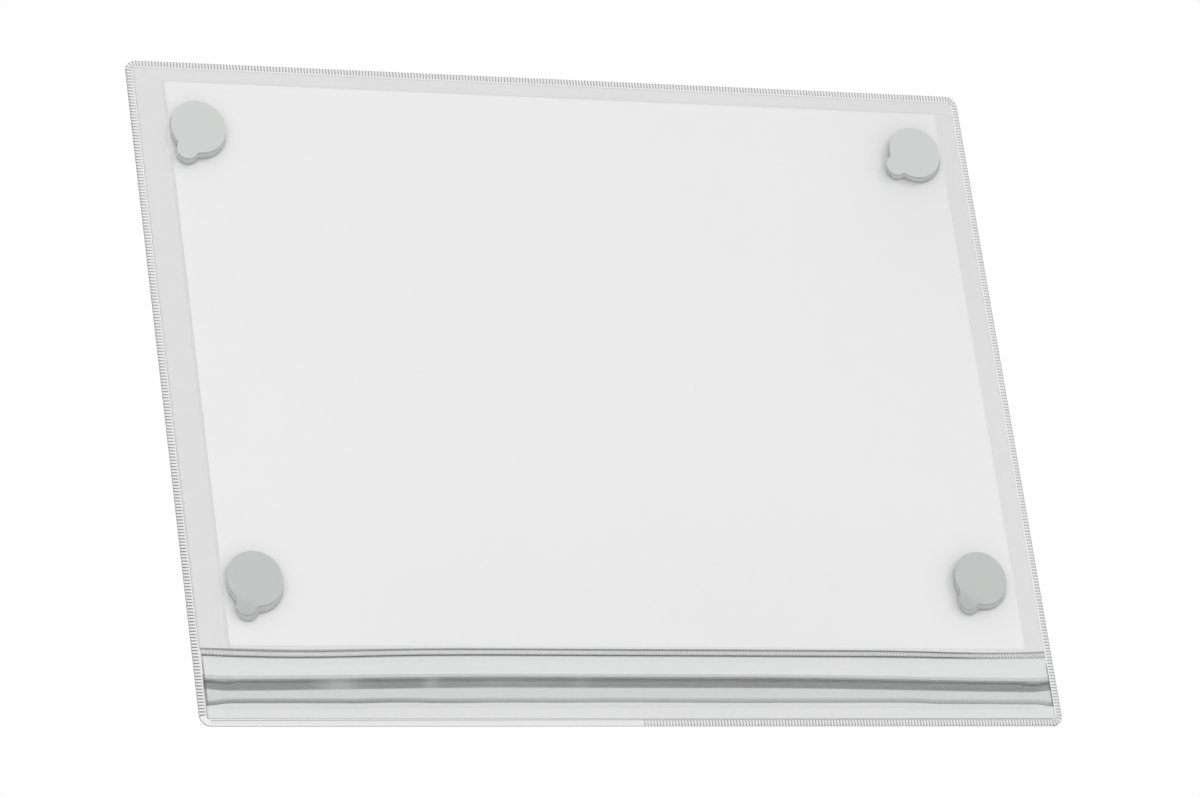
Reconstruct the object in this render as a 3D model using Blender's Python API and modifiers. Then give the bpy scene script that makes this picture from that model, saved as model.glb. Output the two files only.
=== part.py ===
"""Self-adhesive poster pocket: a clear film envelope for one landscape A4 sheet.

The pocket is modelled as it hangs. The wall is the plane y = 0, the display front looks along -Y,
+Z is up, and the origin is level with the middle of the pocket's outline. The press-to-close flap
and the four adhesive pads are at the back. Left and right in the names are as seen from the back,
so that "left" lies at +X. All sizes are in metres.
"""

import math

import bmesh
import bpy

# Sheet and outline
SHEET_WIDTH = 0.297
SHEET_HEIGHT = 0.210
SHEET_THICKNESS = 0.0002
SHEET_SHIFT = -0.0012  # the sheet lies a little to one side
SIDE_MARGIN = 0.012
TOP_MARGIN = 0.0085
CLOSURE_MARGIN = 0.0285  # from the sheet's lower edge to the pocket's lower edge
CORNER_RADIUS = 0.004
CORNER_STEPS = 6

# Films and the welded border
FILM_THICKNESS = 0.0003
WELD_WIDTH = 0.0026
WELD_THICKNESS = 0.00075
PINCH_STEPS = 5  # facets in the slope between the weld and the flat of the back film

# Closure: distances along the back are measured down from the flap's hinge line
HINGE_BELOW_SHEET = 0.0012
HEM_WIDTH = 0.0024  # between the middles of the two seams
SEAM_WIDTH = 0.0006
SEAM_HEIGHT = 0.00015
FLAP_LENGTH = 0.0196
FLAP_THICKNESS = 0.0003
RIB_DROP = 0.0111  # to the middle of the rib
RIB_WIDTH = 0.0014
RIB_ENGAGEMENT = 0.00025
RAIL_WIDTH = 0.001
RAIL_HEIGHT = 0.0006
RAIL_STRIP_THICKNESS = 0.0003
RAIL_STRIP_RISE = 0.001  # how far the strip stands above its upper rail
FLAP_END_GAP = 0.0003

# Adhesive pads, each a stack of die-cut layers
PAD_DIAMETER = 0.020
TAB_WIDTH = 0.0076
TAB_LENGTH = 0.0035  # from the disc's edge to the end of its finger tab
PAD_STEPS = 40
TAB_STEPS = 10
FOAM_THICKNESS = 0.0032
ADHESIVE_THICKNESS = 0.00015
LINER_THICKNESS = 0.00015

# Clearances
LAYER_GAP = 0.0001  # between layers that lie on each other
SLIDE_GAP = 0.0003  # on both sides of the sheet
RIB_GAP = 0.0004  # between the rib and each rail
WELL_OVERCUT = 0.001
JOIN_OVERLAP = 0.00015

# Each pad: name, side (+1 is +X), distance in from the side edge, distance down from the top edge or
# up from the flap's hinge line, and the turn of its tab from straight down towards +X in degrees
PADS = [
    ("top_left", 1, "top", 0.0222, 0.0277, 30),
    ("top_right", -1, "top", 0.0237, 0.0265, 57),
    ("bottom_left", 1, "bottom", 0.0233, 0.0235, 23),
    ("bottom_right", -1, "bottom", 0.0260, 0.0262, 36),
]

# Outline, from the sheet and its margins
POCKET_WIDTH = SHEET_WIDTH + 2 * SIDE_MARGIN
POCKET_HEIGHT = SHEET_HEIGHT + TOP_MARGIN + CLOSURE_MARGIN
TOP_Z = POCKET_HEIGHT / 2
BOTTOM_Z = -POCKET_HEIGHT / 2
SHEET_TOP_Z = TOP_Z - TOP_MARGIN
SHEET_BOTTOM_Z = SHEET_TOP_Z - SHEET_HEIGHT
HINGE_Z = SHEET_BOTTOM_Z - HINGE_BELOW_SHEET
RIB_Z = HINGE_Z - RIB_DROP
RAIL_OFFSET = RIB_WIDTH / 2 + RIB_GAP + RAIL_WIDTH / 2
STRIP_TOP_Z = RIB_Z + RAIL_OFFSET + RAIL_WIDTH / 2 + RAIL_STRIP_RISE
WELL_HALF_WIDTH = POCKET_WIDTH / 2 - WELD_WIDTH
BACK_HALF_WIDTH = WELL_HALF_WIDTH - LAYER_GAP
BACK_TOP_Z = TOP_Z - WELD_WIDTH - LAYER_GAP
BACK_BOTTOM_Z = HINGE_Z - HEM_WIDTH - SEAM_WIDTH / 2
STRIP_BOTTOM_Z = BOTTOM_Z + WELD_WIDTH + LAYER_GAP

# The back film is at its full height before it reaches the sheet's edges
SIDE_PINCH = SIDE_MARGIN - WELD_WIDTH - LAYER_GAP - abs(SHEET_SHIFT)
TOP_PINCH = TOP_MARGIN - WELD_WIDTH - LAYER_GAP
RUN_HALF_LENGTH = BACK_HALF_WIDTH - SIDE_PINCH
FLAP_HALF_LENGTH = WELL_HALF_WIDTH - FLAP_END_GAP

# Levels along Y, from the wall to the display front
LINER_Y = -LINER_THICKNESS
WALL_ADHESIVE_Y = LINER_Y - LAYER_GAP - ADHESIVE_THICKNESS
FOAM_Y = WALL_ADHESIVE_Y - LAYER_GAP - FOAM_THICKNESS
POCKET_ADHESIVE_Y = FOAM_Y - LAYER_GAP - ADHESIVE_THICKNESS
BACK_OUTER_Y = POCKET_ADHESIVE_Y - LAYER_GAP
BACK_INNER_Y = BACK_OUTER_Y - FILM_THICKNESS
SHEET_BACK_Y = BACK_INNER_Y - SLIDE_GAP
SHEET_FRONT_Y = SHEET_BACK_Y - SHEET_THICKNESS
RAIL_TIP_Y = SHEET_FRONT_Y - SLIDE_GAP
RAIL_FOOT_Y = RAIL_TIP_Y - RAIL_HEIGHT
STRIP_FRONT_Y = RAIL_FOOT_Y - RAIL_STRIP_THICKNESS
WINDOW_Y = STRIP_FRONT_Y - LAYER_GAP
FRONT_Y = WINDOW_Y - FILM_THICKNESS
WELD_Y = FRONT_Y + WELD_THICKNESS
FLAP_INNER_Y = BACK_OUTER_Y + LAYER_GAP
FLAP_OUTER_Y = FLAP_INNER_Y + FLAP_THICKNESS
HINGE_Y = FLAP_OUTER_Y + SEAM_HEIGHT
RIB_TIP_Y = RAIL_TIP_Y - RIB_ENGAGEMENT
PINCH_DEPTH = BACK_OUTER_Y - WELD_Y


def clear_scene():
    for old in list(bpy.data.objects):
        bpy.data.objects.remove(old, do_unlink=True)


def make_collection(name):
    collection = bpy.data.collections.new(name)
    bpy.context.scene.collection.children.link(collection)
    return collection


def make_material(name, colour, roughness, alpha=1.0):
    material = bpy.data.materials.new(name)
    material.use_nodes = True
    shader = material.node_tree.nodes["Principled BSDF"]
    shader.inputs["Base Color"].default_value = (*colour, 1.0)
    shader.inputs["Roughness"].default_value = roughness
    shader.inputs["Metallic"].default_value = 0.0
    shader.inputs["Alpha"].default_value = alpha
    return material


def add_object(name, data, collection, material=None):
    item = bpy.data.objects.new(name, data)
    collection.objects.link(item)
    if material is not None:
        data.materials.append(material)
    return item


def add_empty(name, collection, location, rotation=(0, 0, 0), parent=None):
    empty = add_object(name, None, collection)
    empty.empty_display_size = PAD_DIAMETER / 4
    empty.location = location
    empty.rotation_euler = rotation
    empty.parent = parent
    return empty


def box_mesh(name, low, high):
    """A box between two corners, given in the object's own frame."""
    mesh = bpy.data.meshes.new(name)
    shape = bmesh.new()
    bmesh.ops.create_cube(shape, size=1)
    for corner in shape.verts:
        for axis in range(3):
            middle = (low[axis] + high[axis]) / 2
            corner.co[axis] = middle + corner.co[axis] * (high[axis] - low[axis])
    shape.to_mesh(mesh)
    shape.free()
    return mesh


def add_boolean(target, tool, operation):
    tool.hide_render = True
    tool.display_type = "WIRE"
    change = target.modifiers.new(f"{operation.lower()} {tool.name}", "BOOLEAN")
    change.operation = operation
    change.solver = "EXACT"
    change.object = tool


def smooth_step(share):
    share = min(max(share, 0.0), 1.0)
    return share * share * (3 - 2 * share)


def side_rise(x):
    """0 at the side welds and 1 where the back has its full height."""
    return smooth_step((BACK_HALF_WIDTH - abs(x)) / SIDE_PINCH)


def back_surface_y(x, z):
    """The back film's outer face, which slopes down to the welds at the top and the sides."""
    top_rise = smooth_step((BACK_TOP_Z - z) / TOP_PINCH)
    return WELD_Y + PINCH_DEPTH * side_rise(x) * top_rise


def slope_stations(edge, slope_width):
    """Places from an edge at -edge, across the slope beside it, in equal steps."""
    return [-edge + slope_width * step / PINCH_STEPS for step in range(PINCH_STEPS + 1)]


def both_side_stations(edge, slope_width):
    left = slope_stations(edge, slope_width)
    return left + [-place for place in reversed(left)]


def front_film(parts, cutters, material):
    """The window film with the welded border, which stands up from it as a low rim."""
    half = POCKET_WIDTH / 2
    mesh = box_mesh("front_film", (-half, FRONT_Y, BOTTOM_Z), (half, WELD_Y, TOP_Z))
    shape = bmesh.new()
    shape.from_mesh(mesh)
    corners = [edge for edge in shape.edges if abs(edge.verts[0].co.y - edge.verts[1].co.y) > 0.0001]
    bmesh.ops.bevel(
        shape, geom=corners, offset=CORNER_RADIUS, segments=CORNER_STEPS, profile=0.5, affect="EDGES"
    )
    shape.to_mesh(mesh)
    shape.free()
    film = add_object("front_film", mesh, parts, material)
    well = box_mesh(
        "pocket_well",
        (-WELL_HALF_WIDTH, WINDOW_Y, BOTTOM_Z + WELD_WIDTH),
        (WELL_HALF_WIDTH, WELD_Y + WELL_OVERCUT, TOP_Z - WELD_WIDTH),
    )
    add_boolean(film, add_object("pocket_well", well, cutters), "DIFFERENCE")
    return film


def back_film(parts, material):
    """The rear film: flat behind the sheet, pinched down to the welds at its top and sides."""
    columns = both_side_stations(BACK_HALF_WIDTH, SIDE_PINCH)
    rows = [BACK_BOTTOM_Z] + [
        BACK_TOP_Z - TOP_PINCH + TOP_PINCH * step / PINCH_STEPS for step in range(PINCH_STEPS + 1)
    ]
    mesh = bpy.data.meshes.new("back_film")
    shape = bmesh.new()
    bmesh.ops.create_grid(shape, x_segments=len(columns) - 1, y_segments=len(rows) - 1, size=1)
    for point in shape.verts:
        x = columns[round((point.co.x + 1) / 2 * (len(columns) - 1))]
        z = rows[round((point.co.y + 1) / 2 * (len(rows) - 1))]
        point.co = (x, back_surface_y(x, z), z)
    shape.to_mesh(mesh)
    shape.free()
    film = add_object("back_film", mesh, parts, material)
    wall = film.modifiers.new("film thickness", "SOLIDIFY")
    wall.thickness = FILM_THICKNESS
    wall.offset = 1
    return film


def flap_profile():
    """Section of the closure flap as (down from the hinge line, out from its inner face)."""
    seam_top = FLAP_THICKNESS + SEAM_HEIGHT
    upper_end = SEAM_WIDTH
    lower_start = HEM_WIDTH - SEAM_WIDTH / 2
    lower_end = HEM_WIDTH + SEAM_WIDTH / 2
    return [
        (0, 0),
        (0, seam_top),
        (upper_end, seam_top),
        (upper_end, FLAP_THICKNESS),
        (lower_start, FLAP_THICKNESS),
        (lower_start, seam_top),
        (lower_end, seam_top),
        (lower_end, FLAP_THICKNESS),
        (FLAP_LENGTH, FLAP_THICKNESS),
        (FLAP_LENGTH, 0),
    ]


def closure_flap(parts, cutters, material):
    """The outer closure strip: the hem's two seams, the rib and the lip, with its ends pinched."""
    places = both_side_stations(FLAP_HALF_LENGTH, SIDE_PINCH)
    mesh = bpy.data.meshes.new("closure_flap")
    shape = bmesh.new()
    inner_offset = FLAP_INNER_Y - HINGE_Y
    section = [shape.verts.new((places[0], inner_offset + out, -down)) for down, out in flap_profile()]
    grown = bmesh.ops.extrude_face_region(shape, geom=[shape.faces.new(section)])["geom"]
    far_end = [item for item in grown if isinstance(item, bmesh.types.BMVert)]
    bmesh.ops.translate(shape, verts=far_end, vec=(places[-1] - places[0], 0, 0))
    for place in places[1:-1]:
        everything = shape.verts[:] + shape.edges[:] + shape.faces[:]
        bmesh.ops.bisect_plane(shape, geom=everything, plane_co=(place, 0, 0), plane_no=(1, 0, 0))
    for point in shape.verts:
        point.co.y -= PINCH_DEPTH * (1 - side_rise(point.co.x))
    bmesh.ops.recalc_face_normals(shape, faces=shape.faces)
    shape.to_mesh(mesh)
    shape.free()
    flap = add_object("closure_flap", mesh, parts, material)
    flap.location = (0, HINGE_Y, HINGE_Z)
    rib_low = (-RUN_HALF_LENGTH, RIB_TIP_Y - HINGE_Y, -RIB_DROP - RIB_WIDTH / 2)
    rib_high = (RUN_HALF_LENGTH, inner_offset + JOIN_OVERLAP, -RIB_DROP + RIB_WIDTH / 2)
    rib = add_object("closure_rib", box_mesh("closure_rib", rib_low, rib_high), cutters)
    rib.parent = flap
    add_boolean(flap, rib, "UNION")
    return flap


def rail_strip(parts, cutters, material):
    """The inner closure strip: a flat base welded in at the bottom, with the two rails."""
    base = box_mesh(
        "closure_rail_strip",
        (-BACK_HALF_WIDTH, STRIP_FRONT_Y, STRIP_BOTTOM_Z),
        (BACK_HALF_WIDTH, RAIL_FOOT_Y, STRIP_TOP_Z),
    )
    strip = add_object("closure_rail_strip", base, parts, material)
    for name, middle in (("upper_rail", RIB_Z + RAIL_OFFSET), ("lower_rail", RIB_Z - RAIL_OFFSET)):
        rail = box_mesh(
            name,
            (-RUN_HALF_LENGTH, RAIL_FOOT_Y - JOIN_OVERLAP, middle - RAIL_WIDTH / 2),
            (RUN_HALF_LENGTH, RAIL_TIP_Y, middle + RAIL_WIDTH / 2),
        )
        add_boolean(strip, add_object(name, rail, cutters), "UNION")
    return strip


def insert_sheet(parts, material):
    half = SHEET_WIDTH / 2
    mesh = box_mesh(
        "insert_sheet",
        (-half, SHEET_FRONT_Y - SHEET_BACK_Y, -SHEET_HEIGHT / 2),
        (half, 0, SHEET_HEIGHT / 2),
    )
    sheet = add_object("insert_sheet", mesh, parts, material)
    sheet.location = (SHEET_SHIFT, SHEET_BACK_Y, (SHEET_TOP_Z + SHEET_BOTTOM_Z) / 2)
    return sheet


def pad_outline(with_tab):
    """The die-cut outline: a disc and, where asked for, a round-ended tab towards -Y."""
    radius = PAD_DIAMETER / 2
    if not with_tab:
        turns = [2 * math.pi * step / PAD_STEPS for step in range(PAD_STEPS)]
        return [(radius * math.cos(turn), radius * math.sin(turn)) for turn in turns]
    tab_radius = TAB_WIDTH / 2
    tab_centre = radius + TAB_LENGTH - tab_radius
    half_angle = math.asin(tab_radius / radius)
    disc_start = half_angle - math.pi / 2
    disc_turn = 2 * math.pi - 2 * half_angle
    points = []
    for step in range(PAD_STEPS + 1):
        turn = disc_start + disc_turn * step / PAD_STEPS
        points.append((radius * math.cos(turn), radius * math.sin(turn)))
    for step in range(TAB_STEPS + 1):
        turn = math.pi + math.pi * step / TAB_STEPS
        points.append((tab_radius * math.cos(turn), tab_radius * math.sin(turn) - tab_centre))
    return points


def layer_curve(name, outline, thickness):
    """A flat die-cut layer as a filled curve, as thick on one side of its plane as on the other."""
    curve = bpy.data.curves.new(name, "CURVE")
    curve.dimensions = "2D"
    curve.fill_mode = "BOTH"
    curve.extrude = thickness / 2
    spline = curve.splines.new("POLY")
    spline.points.add(len(outline) - 1)
    for point, (x, y) in zip(spline.points, outline):
        point.co = (x, y, 0, 1)
    spline.use_cyclic_u = True
    return curve


def adhesive_pad(parts, materials, name, side, end, side_inset, end_inset, tab_turn):
    """One pad. In its frame +Z looks from the wall to the pocket and the tab points along -Y."""
    x = side * (POCKET_WIDTH / 2 - side_inset)
    z = TOP_Z - end_inset if end == "top" else HINGE_Z + end_inset
    turn = (math.pi / 2, -math.radians(tab_turn), 0)
    frame = add_empty(f"pad_frame_{name}", parts, (x, 0, z), turn)
    disc = pad_outline(with_tab=False)
    tabbed = pad_outline(with_tab=True)
    layers = [
        ("pocket_adhesive", disc, ADHESIVE_THICKNESS, POCKET_ADHESIVE_Y, "adhesive"),
        ("foam_pad", tabbed, FOAM_THICKNESS, FOAM_Y, "foam"),
        ("wall_adhesive", disc, ADHESIVE_THICKNESS, WALL_ADHESIVE_Y, "adhesive"),
    ]
    for layer, outline, thickness, front_y, look in layers:
        curve = layer_curve(f"{layer}_{name}", outline, thickness)
        piece = add_object(f"{layer}_{name}", curve, parts, materials[look])
        piece.parent = frame
        piece.location = (0, 0, -front_y - thickness / 2)
    radius = PAD_DIAMETER / 2
    hinge = add_empty(f"liner_hinge_{name}", parts, (0, radius, LINER_THICKNESS), parent=frame)
    curve = layer_curve(f"release_liner_{name}", tabbed, LINER_THICKNESS)
    liner = add_object(f"release_liner_{name}", curve, parts, materials["liner"])
    liner.parent = hinge
    liner.location = (0, -radius, -LINER_THICKNESS / 2)


def build():
    clear_scene()
    parts = make_collection("poster_pocket")
    cutters = make_collection("poster_pocket_cutters")
    materials = {
        "film": make_material("clear film", (0.90, 0.92, 0.93), 0.12, alpha=0.25),
        "closure": make_material("closure film", (0.82, 0.84, 0.85), 0.2, alpha=0.4),
        "sheet": make_material("white paper", (0.86, 0.86, 0.85), 0.8),
        "foam": make_material("white foam", (0.70, 0.70, 0.70), 0.75),
        "adhesive": make_material("adhesive", (0.72, 0.72, 0.70), 0.4),
        "liner": make_material("release liner", (0.76, 0.77, 0.77), 0.45),
    }
    front_film(parts, cutters, materials["film"])
    back_film(parts, materials["film"])
    closure_flap(parts, cutters, materials["closure"])
    rail_strip(parts, cutters, materials["closure"])
    insert_sheet(parts, materials["sheet"])
    for pad in PADS:
        adhesive_pad(parts, materials, *pad)


build()
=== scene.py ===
# %% [markdown]
# # A self-adhesive poster pocket, dressed
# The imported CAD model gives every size, place and joint of this pocket. This lesson puts the real
# thing's finish over it: clear soft film with a ribbed weld border, a press-to-close flap, a white
# sheet inside and four foam pads with their release liners.
#
# The frame comes first, and its box is kept, because nothing that we add may reach outside it.

# %% Load the fixed frame
import math

import bmesh
import bpy
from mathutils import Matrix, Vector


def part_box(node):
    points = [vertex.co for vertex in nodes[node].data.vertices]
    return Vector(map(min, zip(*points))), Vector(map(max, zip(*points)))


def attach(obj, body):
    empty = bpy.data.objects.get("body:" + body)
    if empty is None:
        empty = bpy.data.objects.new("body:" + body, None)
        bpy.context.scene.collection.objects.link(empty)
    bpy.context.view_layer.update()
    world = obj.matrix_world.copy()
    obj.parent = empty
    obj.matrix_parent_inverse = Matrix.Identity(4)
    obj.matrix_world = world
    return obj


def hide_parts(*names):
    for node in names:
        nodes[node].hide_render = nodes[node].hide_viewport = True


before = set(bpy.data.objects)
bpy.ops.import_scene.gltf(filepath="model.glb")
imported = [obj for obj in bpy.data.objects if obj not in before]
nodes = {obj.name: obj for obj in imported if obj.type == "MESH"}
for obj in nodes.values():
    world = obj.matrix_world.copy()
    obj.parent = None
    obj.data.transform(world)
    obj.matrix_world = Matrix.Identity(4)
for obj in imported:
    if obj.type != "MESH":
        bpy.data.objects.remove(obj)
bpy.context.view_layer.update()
scene = bpy.context.scene
MM = 0.001

# %% [markdown]
# ## Camera
# The photograph looks at the back of the pocket with a long lens, from below and from one side. A
# camera can be set by hand until the corners agree, but the outline and the sheet are two known
# rectangles, so its place and its turn were solved from their eight corners and are typed in here.
# The three axes of a Blender camera are the columns of its matrix: right, up, and back.

# %% Camera at the photograph's angle
from mathutils import Matrix, Vector


def photo_camera():
    data = bpy.data.cameras.new("photo camera")
    data.lens = 175.9
    data.sensor_width = 36.0
    data.clip_end = 20.0
    data.dof.use_dof = False
    camera = bpy.data.objects.new("photo camera", data)
    scene.collection.objects.link(camera)
    right = Vector((-0.9244, 0.3576, -0.1326)).normalized()
    back = Vector((0.3808, 0.8466, -0.3720)).normalized()
    up = back.cross(right).normalized()
    right = up.cross(back)
    turn = Matrix((right, up, back)).transposed().to_4x4()
    camera.matrix_world = Matrix.Translation((0.7823, 1.7350, -0.7662)) @ turn
    scene.camera = camera
    return camera


camera = photo_camera()
print("camera", [round(value, 3) for value in camera.matrix_world.translation])

# %% [markdown]
# ## Light
# Clear film shows mostly what lies behind it, so the surroundings do the work here. The world is a
# soft grey light for the pieces, and plain white where the camera looks at it, also by way of a
# reflection or through the film. One very large soft lamp stands behind the viewer, so that the
# shadows hide behind the pads, and a smaller one lights the display front. A lamp above the viewer
# would show as a glare in the sloping edges of the film. Neither lamp is seen directly or through the
# film, because from the other side its glowing face would wash out the film's grey.

# %% World and lamps
def studio_world():
    world = bpy.data.worlds.new("pale studio")
    scene.world = world
    world.use_nodes = True
    tree = world.node_tree
    tree.nodes.clear()
    path = tree.nodes.new("ShaderNodeLightPath")
    seen = tree.nodes.new("ShaderNodeMath")
    seen.operation = "MAXIMUM"
    shown = tree.nodes.new("ShaderNodeMath")
    shown.operation = "MAXIMUM"
    tree.links.new(path.outputs["Is Camera Ray"], seen.inputs[0])
    tree.links.new(path.outputs["Is Glossy Ray"], seen.inputs[1])
    tree.links.new(seen.outputs[0], shown.inputs[0])
    tree.links.new(path.outputs["Is Transmission Ray"], shown.inputs[1])
    soft = tree.nodes.new("ShaderNodeBackground")
    soft.inputs["Color"].default_value = (0.885, 0.885, 0.885, 1)
    white = tree.nodes.new("ShaderNodeBackground")
    white.inputs["Color"].default_value = (1, 1, 1, 1)
    mix = tree.nodes.new("ShaderNodeMixShader")
    out = tree.nodes.new("ShaderNodeOutputWorld")
    tree.links.new(shown.outputs[0], mix.inputs[0])
    tree.links.new(soft.outputs[0], mix.inputs[1])
    tree.links.new(white.outputs[0], mix.inputs[2])
    tree.links.new(mix.outputs[0], out.inputs["Surface"])


def soft_lamp(name, place, target, width, height, watts):
    data = bpy.data.lights.new(name, "AREA")
    data.shape = "RECTANGLE"
    data.size = width
    data.size_y = height
    data.energy = watts
    lamp = bpy.data.objects.new(name, data)
    scene.collection.objects.link(lamp)
    aim = (Vector(target) - Vector(place)).to_track_quat("-Z", "Y")
    lamp.matrix_world = Matrix.Translation(place) @ aim.to_matrix().to_4x4()
    lamp.visible_camera = False
    lamp.visible_transmission = False
    return lamp


studio_world()
soft_lamp("lamp behind the viewer", (1.0, 2.2, -0.9), (0, 0, 0), 2.4, 2.4, 25)
soft_lamp("lamp before the display front", (0.9, -1.5, 0.9), (0, 0, 0), 1.2, 1.2, 6)
scene.view_settings.view_transform = "Standard"

# %% [markdown]
# The floor lies far below the pocket, out of the photograph's view.

# %% Floor
def pale_floor():
    mesh = bpy.data.meshes.new("floor")
    mesh.from_pydata([(-6, -6, -1.1), (6, -6, -1.1), (6, 6, -1.1), (-6, 6, -1.1)], [], [(0, 1, 2, 3)])
    floor = bpy.data.objects.new("floor", mesh)
    scene.collection.objects.link(floor)
    look = bpy.data.materials.new("pale floor")
    look.use_nodes = True
    tree = look.node_tree
    matt = tree.nodes["Principled BSDF"]
    matt.inputs["Base Color"].default_value = (0.86, 0.86, 0.86, 1)
    matt.inputs["Roughness"].default_value = 0.9
    mesh.materials.append(look)
    return floor


pale_floor()

# %% [markdown]
# ## Materials
# Every finish is procedural. An effect that several of them share is a node group, made once: soft
# cloudiness for all the plastics, and fine fibres for the two papers. A group hands out only values
# that change over the surface, and each material keeps its own shader.

# %% Node helpers
def new_group(name, inputs, outputs):
    """A shader group with float inputs given as (name, value) and outputs given as names."""
    group = bpy.data.node_groups.new(name, "ShaderNodeTree")
    for label, value in inputs:
        socket = group.interface.new_socket(label, in_out="INPUT", socket_type="NodeSocketFloat")
        socket.default_value = value
    for label in outputs:
        group.interface.new_socket(label, in_out="OUTPUT", socket_type="NodeSocketFloat")
    start = group.nodes.new("NodeGroupInput")
    end = group.nodes.new("NodeGroupOutput")
    return group, start, end


def new_math(tree, operation, first, second=0.0, clamp=False):
    """A Math node whose inputs are sockets or plain numbers."""
    node = tree.nodes.new("ShaderNodeMath")
    node.operation = operation
    node.use_clamp = clamp
    for index, value in enumerate((first, second)):
        if isinstance(value, (int, float)):
            node.inputs[index].default_value = value
        else:
            tree.links.new(value, node.inputs[index])
    return node.outputs[0]


def new_mix(tree, factor, first, second):
    """A colour Mix node between two colours, or between what two sockets give."""
    node = tree.nodes.new("ShaderNodeMix")
    node.data_type = "RGBA"
    tree.links.new(factor, node.inputs["Factor"])
    for label, value in (("A", first), ("B", second)):
        socket = [item for item in node.inputs if item.name == label and item.type == "RGBA"][0]
        if isinstance(value, tuple):
            socket.default_value = (*value, 1)
        else:
            tree.links.new(value, socket)
    return [item for item in node.outputs if item.type == "RGBA"][0]


# %% Shared effect: cloudiness of soft plastic
def cloudy_group():
    """Wide soft clouds and fine streaks, as a mask and as a height."""
    group, start, end = new_group(
        "soft plastic clouds",
        [("Cloud Scale", 18.0), ("Streak Scale", 240.0), ("Streak Share", 0.4)],
        ["Mask", "Height"],
    )
    place = group.nodes.new("ShaderNodeTexCoord")
    cloud = group.nodes.new("ShaderNodeTexNoise")
    cloud.inputs["Detail"].default_value = 2.0
    group.links.new(place.outputs["Object"], cloud.inputs["Vector"])
    group.links.new(start.outputs["Cloud Scale"], cloud.inputs["Scale"])
    stretch = group.nodes.new("ShaderNodeMapping")
    stretch.inputs["Scale"].default_value = (0.12, 1.0, 1.0)
    group.links.new(place.outputs["Object"], stretch.inputs["Vector"])
    streak = group.nodes.new("ShaderNodeTexNoise")
    streak.inputs["Detail"].default_value = 3.0
    group.links.new(stretch.outputs[0], streak.inputs["Vector"])
    group.links.new(start.outputs["Streak Scale"], streak.inputs["Scale"])
    share = start.outputs["Streak Share"]
    part = new_math(group, "MULTIPLY", streak.outputs[0], share)
    rest = new_math(group, "MULTIPLY", cloud.outputs[0], new_math(group, "SUBTRACT", 1.0, share))
    both = new_math(group, "ADD", part, rest, clamp=True)
    group.links.new(both, end.inputs["Mask"])
    group.links.new(cloud.outputs[0], end.inputs["Height"])
    return group


# %% Shared effect: paper fibres
def fibre_group():
    """Fine specks and short fibres, as a mask and as a height."""
    group, start, end = new_group(
        "paper fibres",
        [("Fibre Scale", 900.0), ("Cloud Scale", 30.0)],
        ["Mask", "Height"],
    )
    place = group.nodes.new("ShaderNodeTexCoord")
    fibre = group.nodes.new("ShaderNodeTexNoise")
    fibre.inputs["Detail"].default_value = 4.0
    fibre.inputs["Distortion"].default_value = 1.2
    group.links.new(place.outputs["Object"], fibre.inputs["Vector"])
    group.links.new(start.outputs["Fibre Scale"], fibre.inputs["Scale"])
    cloud = group.nodes.new("ShaderNodeTexNoise")
    cloud.inputs["Detail"].default_value = 1.0
    group.links.new(place.outputs["Object"], cloud.inputs["Vector"])
    group.links.new(start.outputs["Cloud Scale"], cloud.inputs["Scale"])
    half = new_math(group, "MULTIPLY", fibre.outputs[0], 0.5)
    other = new_math(group, "MULTIPLY", cloud.outputs[0], 0.5)
    group.links.new(new_math(group, "ADD", half, other, clamp=True), end.inputs["Mask"])
    group.links.new(fibre.outputs[0], end.inputs["Height"])
    return group


clouds = cloudy_group()
fibres = fibre_group()
print("groups:", clouds.name, "and", fibres.name)

# %% [markdown]
# ### Clear film
# The real film is soft clear vinyl, a third of a millimetre thick. Each layer takes about a seventh
# of the light, so the greys of the photograph count the layers: one in the weld, two in the margin,
# three behind the flap. The shader is plain transmission with a tint. An attribute named "shade" on
# the mesh darkens that tint towards a dark colour: 0 is clear film and 1 the darkest. Some of it
# stands for the greyer look of thick and sealed plastic, but most of it is painted shade: lines
# along cut edges, seams, folds and creases, the zip's stacked profiles, and patches where less light
# falls. Light for the sheet has to get through the film, and a path tracer finds a lamp behind bent
# glass badly, so the Light Path node lets shadow and diffuse rays straight through, a little
# weakened, by way of Alpha.

# %% Film finishes
def film_look(name, clear, dark, roughness, cloud_share):
    look = bpy.data.materials.new(name)
    look.use_nodes = True
    tree = look.node_tree
    shader = tree.nodes["Principled BSDF"]
    shader.inputs["Transmission Weight"].default_value = 1.0
    shader.inputs["IOR"].default_value = 1.46
    marks = tree.nodes.new("ShaderNodeGroup")
    marks.node_tree = clouds
    shade = tree.nodes.new("ShaderNodeAttribute")
    shade.attribute_name = "shade"
    dimmer = tuple(value * (1 - cloud_share) for value in clear)
    cloudy = new_mix(tree, marks.outputs["Mask"], clear, dimmer)
    # The "shade" attribute mixes in painted shade, towards the dark colour.
    tinted = new_mix(tree, shade.outputs["Fac"], cloudy, dark)
    tree.links.new(tinted, shader.inputs["Base Color"])
    spread = new_math(tree, "MULTIPLY_ADD", marks.outputs["Mask"], roughness)
    spread.node.inputs[2].default_value = roughness * 0.6
    tree.links.new(spread, shader.inputs["Roughness"])
    bump = tree.nodes.new("ShaderNodeBump")
    bump.inputs["Strength"].default_value = 0.05
    bump.inputs["Distance"].default_value = 0.0003
    tree.links.new(marks.outputs["Height"], bump.inputs["Height"])
    tree.links.new(bump.outputs["Normal"], shader.inputs["Normal"])
    path = tree.nodes.new("ShaderNodeLightPath")
    light = new_math(tree, "MAXIMUM", path.outputs["Is Shadow Ray"], path.outputs["Is Diffuse Ray"])
    through = new_math(tree, "MULTIPLY", light, 0.975)
    tree.links.new(new_math(tree, "SUBTRACT", 1.0, through), shader.inputs["Alpha"])
    return look


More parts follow.
